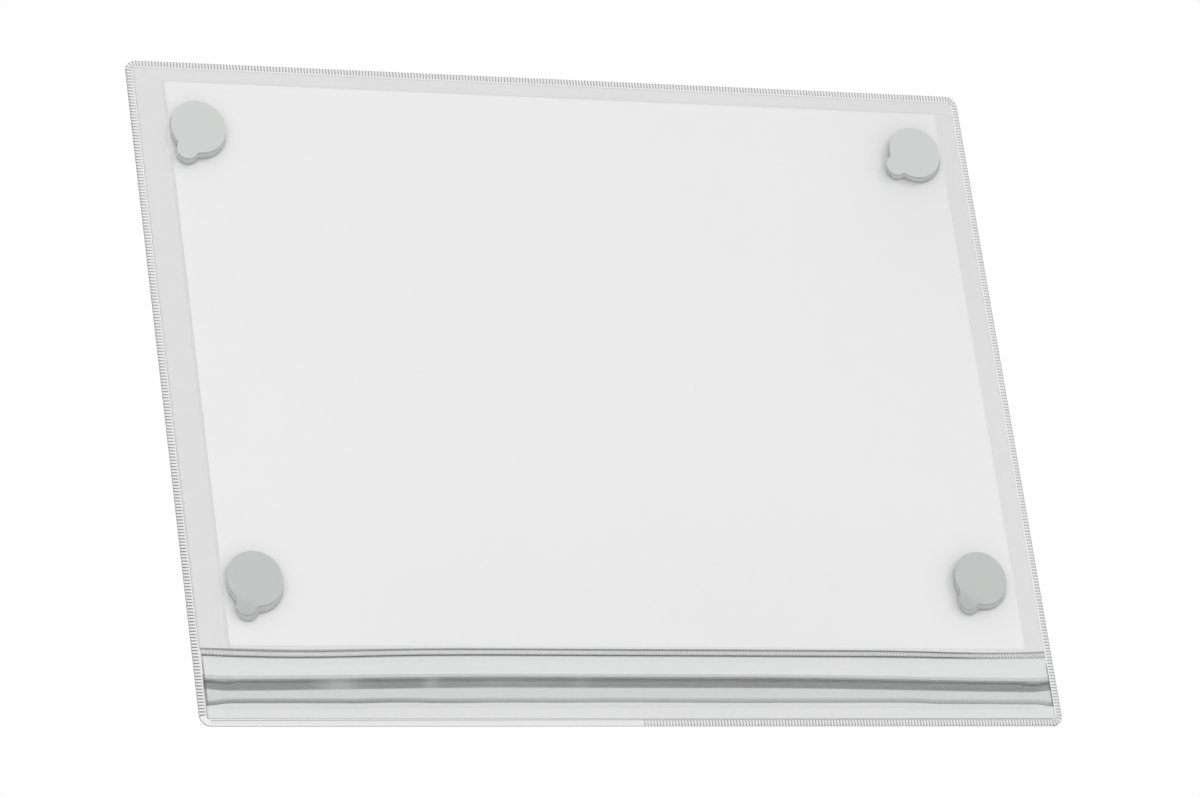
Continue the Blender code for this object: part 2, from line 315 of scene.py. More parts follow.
CLEAR = (0.860, 0.862, 0.860)
film = film_look("clear film", CLEAR, (0.05, 0.052, 0.052), 0.05, 0.02)
closure_film = film_look("closure film", (0.872, 0.874, 0.876), (0.045, 0.046, 0.05), 0.07, 0.03)
weld_film = film_look("welded film", (0.87, 0.872, 0.87), (0.05, 0.052, 0.052), 0.12, 0.03)
rib_film = film_look("weld rib", (0.95, 0.952, 0.95), (0.18, 0.185, 0.185), 0.2, 0.03)
print("film tint", CLEAR)

# %% [markdown]
# ### Paper, foam, adhesive and liner
# The sheet and the release liners are papers: the same fibre group, with a matt finish for one and
# a satin one for the other. Foam gets small cells from a Voronoi texture, and the adhesive is a
# darker, slightly glossy layer between foam and liner. The thin dark line there is painted shade on
# the top rim of the foam, which a "shade" attribute mixes in; the same attribute paints a darker foot
# on the foam and shade on the tabs of the lower pads' liners.

# %% Paper and pad finishes
def paper_look(name, pale, deep, roughness, bump_strength, scale):
    look = bpy.data.materials.new(name)
    look.use_nodes = True
    tree = look.node_tree
    shader = tree.nodes["Principled BSDF"]
    marks = tree.nodes.new("ShaderNodeGroup")
    marks.node_tree = fibres
    marks.inputs["Fibre Scale"].default_value = scale
    shade = tree.nodes.new("ShaderNodeAttribute")
    shade.attribute_name = "shade"
    plain = new_mix(tree, marks.outputs["Mask"], pale, deep)
    # The "shade" attribute mixes in painted shade.
    shaded = new_mix(tree, shade.outputs["Fac"], plain, (0.1, 0.1, 0.105))
    tree.links.new(shaded, shader.inputs["Base Color"])
    spread = new_math(tree, "MULTIPLY_ADD", marks.outputs["Mask"], 0.1)
    spread.node.inputs[2].default_value = roughness
    tree.links.new(spread, shader.inputs["Roughness"])
    bump = tree.nodes.new("ShaderNodeBump")
    bump.inputs["Strength"].default_value = bump_strength
    bump.inputs["Distance"].default_value = 0.00005
    tree.links.new(marks.outputs["Height"], bump.inputs["Height"])
    tree.links.new(bump.outputs["Normal"], shader.inputs["Normal"])
    return look


def foam_look(name, pale, deep):
    look = bpy.data.materials.new(name)
    look.use_nodes = True
    tree = look.node_tree
    shader = tree.nodes["Principled BSDF"]
    shader.inputs["Roughness"].default_value = 0.8
    place = tree.nodes.new("ShaderNodeTexCoord")
    cells = tree.nodes.new("ShaderNodeTexVoronoi")
    cells.inputs["Scale"].default_value = 2600.0
    tree.links.new(place.outputs["Object"], cells.inputs["Vector"])
    marks = tree.nodes.new("ShaderNodeGroup")
    marks.node_tree = clouds
    marks.inputs["Cloud Scale"].default_value = 160.0
    depth = new_math(tree, "MULTIPLY", cells.outputs["Distance"], marks.outputs["Mask"])
    shade = tree.nodes.new("ShaderNodeAttribute")
    shade.attribute_name = "shade"
    plain = new_mix(tree, depth, pale, deep)
    # The "shade" attribute mixes in painted shade.
    shaded = new_mix(tree, shade.outputs["Fac"], plain, (0.12, 0.125, 0.12))
    tree.links.new(shaded, shader.inputs["Base Color"])
    bump = tree.nodes.new("ShaderNodeBump")
    bump.inputs["Strength"].default_value = 0.35
    bump.inputs["Distance"].default_value = 0.0001
    tree.links.new(cells.outputs["Distance"], bump.inputs["Height"])
    tree.links.new(bump.outputs["Normal"], shader.inputs["Normal"])
    return look


sheet_paper = paper_look("white sheet paper", (0.975, 0.975, 0.975), (0.96, 0.96, 0.96), 0.75, 0.2, 1500.0)
liner_paper = paper_look("release liner paper", (0.61, 0.625, 0.615), (0.58, 0.595, 0.585), 0.42, 0.15, 700.0)
# The lower pads' liner paper is a copy of the same paper, darker as painted shade.
shaded_lower_liner = paper_look("liner paper with painted shade", (0.525, 0.54, 0.53), (0.495, 0.51, 0.50), 0.42, 0.15, 700.0)
foam = foam_look("pad foam", (0.54, 0.55, 0.545), (0.42, 0.43, 0.425))
adhesive = paper_look("pad adhesive", (0.44, 0.45, 0.44), (0.38, 0.39, 0.38), 0.3, 0.3, 500.0)
pale_adhesive = paper_look("pale adhesive", (0.60, 0.61, 0.60), (0.55, 0.56, 0.55), 0.5, 0.3, 500.0)
for name, node in nodes.items():
    if name.startswith("wall_adhesive"):
        node.data.materials.clear()
        node.data.materials.append(adhesive)
nodes["insert_sheet"].data.materials.clear()
nodes["insert_sheet"].data.materials.append(sheet_paper)
print("finishes:", len(bpy.data.materials))

# %% [markdown]
# ## Sizes shared by the films
# The wall is y = 0, and the display front looks along -Y.

# %% Edges and levels from the frame
front_low, front_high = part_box("front_film")
back_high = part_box("back_film")[1]
flap_low, flap_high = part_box("closure_flap")
strip_low, strip_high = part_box("closure_rail_strip")
HALF_WIDTH = front_high[0]
TOP_Z = front_high[2]
BOTTOM_Z = front_low[2]
FRONT_Y = front_low[1]
WELD_Y = front_high[1]
WELD_WIDTH = 2.6 * MM
FILM = 0.3 * MM
WINDOW_Y = FRONT_Y + FILM
WELD_TOP_Y = WELD_Y - 0.12 * MM  # the flat of the weld, from which its ribs stand out
BACK_HALF = back_high[0]
BACK_TOP_Z = back_high[2]
BACK_Y = back_high[1]
SIDE_PINCH = 8.1 * MM
TOP_PINCH = 5.8 * MM
CORNER = 4.0 * MM
print("outline in mm:", round(2 * HALF_WIDTH / MM, 1), "x", round((TOP_Z - BOTTOM_Z) / MM, 1))


def smooth_step(share):
    """A soft step from 0 to 1 while share goes from 0 to 1."""
    share = min(max(share, 0.0), 1.0)
    return share * share * (3 - 2 * share)


def bell(value, centre, width):
    """1 at the centre, and falling to nothing over about twice the width."""
    return math.exp(-(((value - centre) / width) ** 2))


def side_rise(x):
    """0 at the side welds and 1 where the back has its full height."""
    return smooth_step((BACK_HALF - abs(x)) / SIDE_PINCH)


# %% Mesh helpers
def finish_mesh(name, shape, material, shades):
    """Turns a bmesh into an object, with outward faces and the shade of each point."""
    bmesh.ops.recalc_face_normals(shape, faces=shape.faces)
    mesh = bpy.data.meshes.new(name)
    shape.to_mesh(mesh)
    shape.free()
    layer = mesh.attributes.new("shade", "FLOAT", "POINT")
    layer.data.foreach_set("value", shades)
    mesh.materials.append(material)
    mesh.polygons.foreach_set("use_smooth", [True] * len(mesh.polygons))
    mesh.set_sharp_from_angle(angle=math.radians(38))
    piece = bpy.data.objects.new(name, mesh)
    scene.collection.objects.link(piece)
    return piece


def stacked_rings(name, rings, material, shades=None):
    """A closed shape through rings of points, with a face across the first and the last ring."""
    shape = bmesh.new()
    loops = [[shape.verts.new(point) for point in ring] for ring in rings]
    count = len(rings[0])
    for near, far in zip(loops, loops[1:]):
        for index in range(count):
            after = (index + 1) % count
            shape.faces.new((near[index], near[after], far[after], far[index]))
    shape.faces.new(list(reversed(loops[0])))
    shape.faces.new(loops[-1])
    if shades is None:
        shades = [0.0] * len(rings)
    return finish_mesh(name, shape, material, [shade for shade in shades for _ in range(count)])


def film_shell(name, stations, rows_at, outer_at, inner_at, shade_at, material):
    """A closed film between two surfaces over a grid of x stations and z rows."""
    shape = bmesh.new()
    shades = []
    outer, inner = [], []
    for x in stations:
        column = rows_at(x)
        outer.append([shape.verts.new((x, outer_at(x, z, row), z)) for row, z in enumerate(column)])
        shades.extend(shade_at(x, z, row, True) for row, z in enumerate(column))
        inner.append([shape.verts.new((x, inner_at(x, z, row), z)) for row, z in enumerate(column)])
        shades.extend(shade_at(x, z, row, False) for row, z in enumerate(column))
    for left in range(len(stations) - 1):
        for row in range(len(outer[0]) - 1):
            for side in (outer, inner):
                shape.faces.new(
                    (side[left][row], side[left + 1][row], side[left + 1][row + 1], side[left][row + 1])
                )
        for row in (0, -1):
            shape.faces.new((outer[left][row], outer[left + 1][row], inner[left + 1][row], inner[left][row]))
    for end in (0, -1):
        for row in range(len(outer[0]) - 1):
            shape.faces.new((outer[end][row], outer[end][row + 1], inner[end][row + 1], inner[end][row]))
    return finish_mesh(name, shape, material, shades)


def spaced(start, stop, count):
    """Evenly spaced values, with both ends among them."""
    return [start + (stop - start) * step / (count - 1) for step in range(count)]


# %% [markdown]
# ## Window film and its weld
# On the real pocket all the layers are fused into one flat rim by a hot ribbed bar. The film could
# be cut out with a Boolean, but rings that follow the rounded outline, each a little further in,
# give clean edges and let each ring carry its own painted shade: darker on the cut edge and along
# the inner foot of the weld, as in the photograph.

# %% Rings along the outline
def outline_ring(inset, y, corner_steps=10):
    """The rounded outline, moved in by inset, at the level y."""
    radius = max(CORNER - inset, 0.4 * MM)
    half_x = HALF_WIDTH - inset - radius
    high_z = TOP_Z - inset - radius
    low_z = BOTTOM_Z + inset + radius
    points = []
    for centre_x, centre_z, start in (
        (half_x, high_z, 0), (-half_x, high_z, 90), (-half_x, low_z, 180), (half_x, low_z, 270),
    ):
        for step in range(corner_steps + 1):
            turn = math.radians(start + 90 * step / corner_steps)
            points.append((centre_x + radius * math.cos(turn), y, centre_z + radius * math.sin(turn)))
    return points


print("points in a ring:", len(outline_ring(0.0, FRONT_Y)))


def edge_distance(place):
    """How far inside the outline a point lies, measured to the nearest side."""
    return min(HALF_WIDTH - abs(place.x), TOP_Z - place.z, place.z - BOTTOM_Z)


# %% [markdown]
# The rim's painted shade differs from side to side, as light and shade fall on each side of the rim
# differently, so each stretch of the rim has its own five values: what the cut edge's shade is
# multiplied by, the shade of the bevel, of the outer and of the inner half of the flat, and what the
# foot's shade is multiplied by.

# %% Shades of the rim
RIM_SHADES = {
    "top": (0.8, 0.50, 0.10, 0.08, 0.4),
    "upper left": (0.5, 0.30, 0.02, 0.05, 0.1),
    "lower left": (0.5, 0.30, 0.03, 0.07, 0.7),
    "right": (1.0, 1.00, 0.26, 0.0, 0.0),
    "bottom left": (0.0, 0.0, 0.14, 0.20, 5.0),
    "bottom right": (0.1, 0.0, 0.12, 0.20, 4.5),
}


def rim_shade(place, shade):
    """The painted shade of a point of the rim, from the shade of its ring."""
    at_left = place.x > 0
    if abs(place.x) > HALF_WIDTH - CORNER + 0.01 * MM:
        stretch = ("upper left" if place.z > 0 else "lower left") if at_left else "right"
    elif place.z > 0:
        stretch = "top"
    else:
        stretch = "bottom left" if at_left else "bottom right"
    cut, bevel, outer, inner, foot = RIM_SHADES[stretch]
    distance = edge_distance(place)
    if distance < 0.1 * MM:
        return shade * cut
    if place.y < FRONT_Y + 0.1 * MM:
        return shade
    if distance < 0.3 * MM:
        return bevel
    if distance < WELD_WIDTH - 0.3 * MM:
        return outer if distance < WELD_WIDTH / 2 else inner
    return shade * foot


print("stretches of the rim:", ", ".join(RIM_SHADES))


# %% Window film
def window_film():
    # The third value of each ring is painted shade: a dark line on the cut edge and on the weld's inner foot.
    rings = [
        (WELD_WIDTH + 0.4 * MM, FRONT_Y, 0.0),
        (WELD_WIDTH - 0.1 * MM, FRONT_Y, 0.0),
        (0.25 * MM, FRONT_Y, 0.0),
        (0.05 * MM, FRONT_Y + 0.04 * MM, 0.55),
        (0.0, FRONT_Y + 0.12 * MM, 0.6),
        (0.04 * MM, FRONT_Y + 0.24 * MM, 0.5),
        (0.2 * MM, WELD_TOP_Y - 0.12 * MM, 0.4),
        (0.5 * MM, WELD_TOP_Y, 0.0),
        (WELD_WIDTH - 0.35 * MM, WELD_TOP_Y, 0.0),
        (WELD_WIDTH - 0.2 * MM, WELD_TOP_Y - 0.02 * MM, 0.12),
        (WELD_WIDTH - 0.05 * MM, WELD_TOP_Y - 0.13 * MM, 0.2),
        (WELD_WIDTH + 0.1 * MM, WINDOW_Y + 0.03 * MM, 0.12),
        (WELD_WIDTH + 0.25 * MM, WINDOW_Y, 0.0),
    ]
    piece = stacked_rings(
        "window_film",
        [outline_ring(inset, y) for inset, y, _ in rings],
        film,
        [shade for _, _, shade in rings],
    )
    shade = piece.data.attributes["shade"].data
    # Each point's painted shade then follows its stretch of the rim.
    for point in piece.data.vertices:
        shade[point.index].value = rim_shade(point.co, shade[point.index].value)
        # Low on the left the foot of the weld runs a little nearer to the edge.
        if point.co.z < 0 < point.co.x and edge_distance(point.co) > WELD_WIDTH - 0.4 * MM:
            point.co.z -= 0.45 * MM
    piece.data.materials.append(weld_film)
    for face in piece.data.polygons:
        if edge_distance(face.center) < WELD_WIDTH - 0.3 * MM:
            face.material_index = 1
    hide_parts("front_film")
    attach(piece, "pocket")
    return piece


window = window_film()
print("window film:", len(window.data.polygons), "faces")

# %% [markdown]
# ## Ribs of the weld
# The welding bar leaves about a thousand small ribs across the rim. Modelling them by hand or with
# an Array would be slow to change, so a Geometry Nodes tree walks along a path: it resamples the
# path by the pitch, sets one small rounded bar on each point, square to the path, and realizes the
# copies. The same tree makes the finer ribs of the hem on the closure. Low on the left the ribs can't
# be seen in the photograph, so they grow flat there and end.

# %% Geometry Nodes tree for ribs along a path
def rib_tree():
    tree = bpy.data.node_groups.new("ribs along a path", "GeometryNodeTree")
    face = tree.interface
    face.new_socket("Geometry", in_out="INPUT", socket_type="NodeSocketGeometry")
    sizes = {"Pitch": 1.15, "Rib Length": 2.2, "Rib Width": 0.5, "Rib Height": 0.1}
    for label, value in sizes.items():
        socket = face.new_socket(label, in_out="INPUT", socket_type="NodeSocketFloat")
        socket.default_value = value * MM
        socket.min_value = 0.01 * MM
    face.new_socket("Finish", in_out="INPUT", socket_type="NodeSocketMaterial")
    face.new_socket("Geometry", in_out="OUTPUT", socket_type="NodeSocketGeometry")
    start = tree.nodes.new("NodeGroupInput")
    end = tree.nodes.new("NodeGroupOutput")
    link = tree.links.new
    curve = tree.nodes.new("GeometryNodeMeshToCurve")
    link(start.outputs["Geometry"], curve.inputs["Mesh"])
    resample = tree.nodes.new("GeometryNodeResampleCurve")
    resample.mode = "LENGTH"
    link(curve.outputs["Curve"], resample.inputs["Curve"])
    link(start.outputs["Pitch"], resample.inputs["Length"])
    bar = tree.nodes.new("GeometryNodeMeshCylinder")
    bar.inputs["Vertices"].default_value = 8
    bar.inputs["Side Segments"].default_value = 3
    bar.inputs["Radius"].default_value = 0.5
    bar.inputs["Depth"].default_value = 1.0
    ends = tree.nodes.new("FunctionNodeBooleanMath")
    ends.operation = "OR"
    link(bar.outputs["Top"], ends.inputs[0])
    link(bar.outputs["Bottom"], ends.inputs[1])
    place = tree.nodes.new("GeometryNodeInputPosition")
    narrow = tree.nodes.new("ShaderNodeVectorMath")
    narrow.operation = "MULTIPLY"
    narrow.inputs[1].default_value = (0.6, 0.3, 1.0)
    link(place.outputs[0], narrow.inputs[0])
    taper = tree.nodes.new("GeometryNodeSetPosition")
    link(bar.outputs["Mesh"], taper.inputs["Geometry"])
    link(ends.outputs[0], taper.inputs["Selection"])
    link(narrow.outputs[0], taper.inputs["Position"])
    tangent = tree.nodes.new("GeometryNodeInputTangent")
    turn = tree.nodes.new("FunctionNodeAxesToRotation")
    turn.primary_axis = "Y"
    turn.secondary_axis = "X"
    turn.inputs["Primary Axis"].default_value = (0, 1, 0)
    link(tangent.outputs[0], turn.inputs["Secondary Axis"])
    double = tree.nodes.new("ShaderNodeMath")
    double.operation = "MULTIPLY"
    double.inputs[1].default_value = 2.0
    link(start.outputs["Rib Height"], double.inputs[0])
    size = tree.nodes.new("ShaderNodeCombineXYZ")
    link(start.outputs["Rib Width"], size.inputs["X"])
    link(double.outputs[0], size.inputs["Y"])
    link(start.outputs["Rib Length"], size.inputs["Z"])
    copies = tree.nodes.new("GeometryNodeInstanceOnPoints")
    link(resample.outputs["Curve"], copies.inputs["Points"])
    link(taper.outputs["Geometry"], copies.inputs["Instance"])
    link(turn.outputs["Rotation"], copies.inputs["Rotation"])
    link(size.outputs[0], copies.inputs["Scale"])
    real = tree.nodes.new("GeometryNodeRealizeInstances")
    link(copies.outputs[0], real.inputs[0])
    dress = tree.nodes.new("GeometryNodeSetMaterial")
    link(real.outputs[0], dress.inputs["Geometry"])
    link(start.outputs["Finish"], dress.inputs["Material"])
    link(dress.outputs[0], end.inputs[0])
    return tree


ribs_along = rib_tree()
print("tree inputs:", [item.name for item in ribs_along.interface.items_tree if item.in_out == "INPUT"])


# %% Ribs from a path, as a plain mesh
def grow_ribs(name, path, closed, pitch, length, width, height, finish, shade_at):
    """Ribs a pitch apart along a path, which is open or closed. shade_at gives each point's shade."""
    mesh = bpy.data.meshes.new(name)
    edges = [(index, index + 1) for index in range(len(path) - 1)]
    if closed:
        edges.append((len(path) - 1, 0))
    mesh.from_pydata(path, edges, [])
    maker = bpy.data.objects.new(name + " path", mesh)
    scene.collection.objects.link(maker)
    modifier = maker.modifiers.new("ribs", "NODES")
    modifier.node_group = ribs_along
    sizes = {"Pitch": pitch, "Rib Length": length, "Rib Width": width, "Rib Height": height, "Finish": finish}
    for item in ribs_along.interface.items_tree:
        if item.in_out == "INPUT" and item.name in sizes:
            modifier[item.identifier] = sizes[item.name]
    graph = bpy.context.evaluated_depsgraph_get()
    result = bpy.data.meshes.new_from_object(maker.evaluated_get(graph))
    result.name = name
    bpy.data.objects.remove(maker, do_unlink=True)
    layer = result.attributes.new("shade", "FLOAT", "POINT")
    layer.data.foreach_set("value", [shade_at(point.co) for point in result.vertices])
    result.polygons.foreach_set("use_smooth", [True] * len(result.polygons))
    if not result.materials:
        result.materials.append(finish)
    piece = bpy.data.objects.new(name, result)
    scene.collection.objects.link(piece)
    return piece


# %% Ribs of the weld
RIB_PITCH = 1.15 * MM
RIB_POINTS = 32  # eight round the rib, in four rows


def weld_rib_shade(point):
    """Painted shade on the ribs: darkest low on the left, and soft on the right."""
    if point.z < BOTTOM_Z + 3 * MM and abs(point.x) < HALF_WIDTH - 1.3 * MM:
        return 0.12 + 0.2 * smooth_step((0.004 - point.x) / 0.03)
    if point.x > HALF_WIDTH - 3 * MM:
        return 0.34 + 0.4 * smooth_step((0.06 - point.z) / 0.15)
    if point.x < 3 * MM - HALF_WIDTH:
        return 0.14 + 0.2 * smooth_step((-0.04 - point.z) / 0.05)
    return 0.42 - 0.1 * smooth_step((0.05 - point.x) / 0.2)


weld_ribs = grow_ribs(
    "weld_ribs", outline_ring(WELD_WIDTH / 2 - 0.15 * MM, WELD_TOP_Y), True,
    RIB_PITCH, 2.05 * MM, 0.46 * MM, 0.07 * MM, rib_film, weld_rib_shade,
)


def fade_lower_ribs(mesh):
    """Along the bottom the ribs grow flatter towards the left, and are gone left of the middle."""
    shape = bmesh.new()
    shape.from_mesh(mesh)
    points = list(shape.verts)
    gone = []
    for first in range(0, len(points), RIB_POINTS):
        rib = points[first:first + RIB_POINTS]
        middle = sum((point.co for point in rib), Vector()) / RIB_POINTS
        if middle.z > BOTTOM_Z + 2.9 * MM:
            continue
        if RIB_PITCH / 2 < middle.x:
            gone.extend(rib)
            continue
        height = 0.1 + 0.9 * smooth_step((3 * MM - middle.x) / (20 * MM))
        for point in rib:
            point.co.y = WELD_TOP_Y + (point.co.y - WELD_TOP_Y) * height
    bmesh.ops.delete(shape, geom=gone, context="VERTS")
    shape.to_mesh(mesh)
    shape.free()


fade_lower_ribs(weld_ribs.data)
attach(weld_ribs, "pocket")
print("weld ribs:", len(weld_ribs.data.polygons), "faces")

# %% [markdown]
# ## Where the closure's lines run
# The lines of the closure aren't quite straight on the real pocket: they sag by about a millimetre
# towards the side welds, where the profiles are crushed, and the free lip of the flap waves a
# little. Places along x are in metres from the middle, and positive x is on the left in the
# photograph. The functions come before the films, because the rear film ends inside the upper seam.

# %% The run of the closure's lines
RIB_Z = -107.3 * MM
RAIL_PITCH = 1.45 * MM
SEAM_UP = -96.4 * MM
SEAM_LOW = -98.55 * MM
LIP_Z = -115.85 * MM


def band_sag(x):
    """How much lower than in the middle the zip runs."""
    return 1.35 * MM * smooth_step((abs(x) - 0.045) / 0.115) - 0.6 * MM * (1 - side_rise(x))


def hem_sag(x, lower):
    """The same for the hem's lower or upper seam, which dip near both ends."""
    left = 1.2 * MM * bell(x, 0.126, 0.036) if lower else 1.0 * MM * bell(x, 0.124, 0.034)
    right = (0.4 if lower else 0.7) * MM * bell(x, -0.131, 0.024)
    return left + right - 0.75 * MM * (1 - side_rise(x))


def lip_sag(x):
    """The same for the flap's free lip, with its small waves."""
    wave = 0.30 * MM * bell(x, 0.111, 0.012) + 0.22 * MM * bell(x, 0.073, 0.012)
    wave += 0.12 * MM * bell(x, 0.030, 0.014) + 0.25 * MM * bell(x, -0.115, 0.010)
    ends = 0.75 * MM * smooth_step((abs(x) - 0.128) / 0.030)
    left = 0.5 * MM * smooth_step((x - 0.085) / 0.04)
    right = 0.35 * MM * smooth_step((-x - 0.100) / 0.02)
    return wave + ends + left + right


def pressed(x):
    """1 along most of the zip, less at a few lighter spots: painted highlights where the rib stands a little
    open in the rails.
    """
    open_spots = 0.75 * bell(x, 0.110, 0.007) + 0.6 * bell(x, 0.0765, 0.0025)
    open_spots += 0.25 * bell(x, 0.022, 0.003) + 0.2 * bell(x, 0.050, 0.02)
    return 1 - min(open_spots, 0.85)


print("the zip sags by", round(band_sag(BACK_HALF - SIDE_PINCH) / MM, 2), "mm towards its ends")


# %% [markdown]
# ## Back film
# The rear film lies flat behind the sheet and is drawn down to the weld at the top and the sides. A
# grid with more rows where it bends follows that slope smoothly, and a ripple of a few hundredths of
# a millimetre keeps its gloss from looking like glass. Painted shade gives it a faint shadow along
# the sheet's edge and makes it a little dimmer at the top right and below the middle, as in the
# photograph.

# %% Back film
RIPPLE = 0.03 * MM


def back_level(x, z):
    """The rear film's outer face, a ripple lower than the CAD's, so that it stays in its box."""
    top_rise = smooth_step((BACK_TOP_Z - z) / TOP_PINCH)
    drop = (BACK_Y - WELD_Y) * (1 - side_rise(x) * top_rise)
    ripple = RIPPLE * math.sin(x * 61 + 1.3) * math.sin(z * 83 + 0.4) * side_rise(x) * top_rise
    return BACK_Y - drop - RIPPLE + ripple


def pinched_stations(half, fine, coarse):
    """Stations along x, closer together where the films are drawn down to the side welds."""
    side = spaced(-half, -half + SIDE_PINCH, fine)
    middle = spaced(-half + SIDE_PINCH, half - SIDE_PINCH, coarse)
    return side + middle[1:-1] + [-x for x in reversed(side)]


def dressed_back_film():
    sheet_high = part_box("insert_sheet")[1]
    fold_x = sheet_high[0] + 0.3 * MM
    fold_z = sheet_high[2] + 0.35 * MM

    def rows_at(x):
        low = SEAM_UP - hem_sag(x, False)
        rows = spaced(low, BACK_TOP_Z - TOP_PINCH, 44) + spaced(BACK_TOP_Z - TOP_PINCH, BACK_TOP_Z, 10)[1:]
        rows += [fold_z + step * MM for step in (-0.45, 0.0, 0.45)]
        return sorted(rows)

    def shade_at(x, z, row, outside):
        # Painted shade: a thin line where the film meets the weld at the sides and the top, a faint shadow
        # along the sheet's edge, and dimming at the top right and below the middle.
        edge = 0.04 + 0.06 * smooth_step(x / BACK_HALF) * smooth_step((0.03 - z) / 0.08)
        edge *= smooth_step(1 - (BACK_HALF - abs(x)) / (0.5 * MM))
        top = smooth_step(1 - (BACK_TOP_Z - z) / (0.4 * MM))
        fold_shadow_band = 0.06 if fold_x - 0.01 * MM < x < fold_x + 1.0 * MM else 0.0
        fold_shadow_band += 0.10 * max(1 - abs(x - fold_x) / (0.2 * MM), 0.0)
        fold = fold_shadow_band * smooth_step((fold_z - z) / (0.4 * MM))
        top_fold_shadow = 0.05 * max(1 - abs(z - fold_z) / (0.45 * MM), 0.0)
        top_fold_shadow *= smooth_step((fold_x - x) / (0.4 * MM))
        dim = 0.03 * smooth_step((-x - 0.08) / 0.06) * smooth_step(z / 0.08)
        dim += 0.028 * smooth_step((-0.03 - z) / 0.06) * smooth_step((0.13 - abs(x)) / 0.06)
        return max(edge, 0.08 * top, fold, top_fold_shadow) + dim

    folds = [fold_x + step * MM for step in (-0.2, 0.0, 0.2, 0.9, 1.3)]
    piece = film_shell(
        "rear_film", sorted(pinched_stations(BACK_HALF, 10, 60) + folds), rows_at,
        lambda x, z, row: back_level(x, z),
        lambda x, z, row: back_level(x, z) - FILM + RIPPLE,
        shade_at, film,
    )
    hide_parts("back_film")
    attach(piece, "pocket")
    return piece


rear = dressed_back_film()
print("rear film:", len(rear.data.polygons), "faces")

# %% [markdown]
# ## Closure
# The zip runs along the bottom of the back: an inner strip with two rails, and an outer flap with a
# rib that snaps between them. Both are extruded strips, so each is swept through many stations along
# x, and follows the sagging lines.

# %% Rail strip
def rail_strip():
    half = strip_high[0]
    foot = strip_low[1] + FILM
    tip = strip_high[1]
    top = strip_high[2]
    bottom = strip_low[2]
    rails = (RIB_Z + RAIL_PITCH, RIB_Z - RAIL_PITCH)

    def rows_at(x):
        sag = band_sag(x)
        edge_z = top - sag * 0.8 - 0.4 * MM
        column = [edge_z, edge_z - 0.15 * MM, rails[0] - sag + 0.66 * MM]
        for centre in rails:
            for step in (-0.56, -0.46, -0.25, 0.0, 0.25, 0.46, 0.56):
                column.append(centre - sag - step * MM)
        column.append(rails[1] - sag - 1.1 * MM)
        column.extend(spaced(rails[1] - sag - 1.7 * MM, bottom, 8))
        return column

    upper_rail = range(3, 10)
    lower_rail = range(10, 17)
    lift = {4: 0.2, 5: 0.5, 6: 0.58, 7: 0.5, 8: 0.2, 11: 0.25, 12: 0.7, 13: 0.8, 14: 0.7, 15: 0.25}

    def outer_at(x, z, row):
        return foot + (tip - foot) * lift.get(row, 0.0) * max(side_rise(x), 0.12)

    # Painted shade: the rails darken the zip to a band, less at the lighter spots, with a line along the
    # strip's top and at its ends.
    def shade_at(x, z, row, outside):
        edge = 0.25 * smooth_step(1 - (half - abs(x)) / (0.5 * MM))
        if row < upper_rail.start:
            return 0.07 + edge
        if row < lower_rail.stop:
            deep = 0.64 if row in lower_rail else 0.44 if row > 5 else 0.1
            return (deep if outside else deep - 0.04) * (0.45 + 0.55 * pressed(x))
        return edge

    piece = film_shell(
        "zip_rail_strip", pinched_stations(half, 10, 120), rows_at, outer_at,
        lambda x, z, row: strip_low[1], shade_at, closure_film,
    )
    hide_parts("closure_rail_strip")
    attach(piece, "pocket")
    return piece


rails = rail_strip()
print("rail strip:", len(rails.data.polygons), "faces")

# %% [markdown]
# The flap carries, from its top down, the two seams of the hem, a plain field, the rib on its inner
# face and the free lip. One list of rows serves both faces, and the rows gather where a seam or the
# rib needs them. The ranges and tables in the function count those rows from the top.

# %% Closure flap
FLAP_Y = flap_high[1] - 0.15 * MM - FILM  # its inner face, so that the seams reach the CAD's top


def flap_base(x, z):
    """The flap's inner face: drawn down at its ends, with a soft swell over the zip and the lip."""
    pinch = (BACK_Y - WELD_Y) * (1 - side_rise(x))
    middle = side_rise(x)
    swell = 0.35 * MM * bell(z, -104.0 * MM, 2.6 * MM) + 0.25 * MM * bell(z, -110.6 * MM, 1.6 * MM)
    curl = 0.55 * MM * smooth_step((-112.2 * MM - z) / (3.6 * MM))
    wave = 0.18 * MM * math.sin(x * 57 + 0.7) * smooth_step((-111 * MM - z) / (4 * MM))
    return FLAP_Y - pinch + (swell + curl + wave) * middle


def seam_width(x):
    """Half the width of the upper seam, wider where it is pressed broad near the left end."""
    return 0.30 * MM + 0.25 * MM * smooth_step(bell(x, 0.122, 0.030) * 1.3)


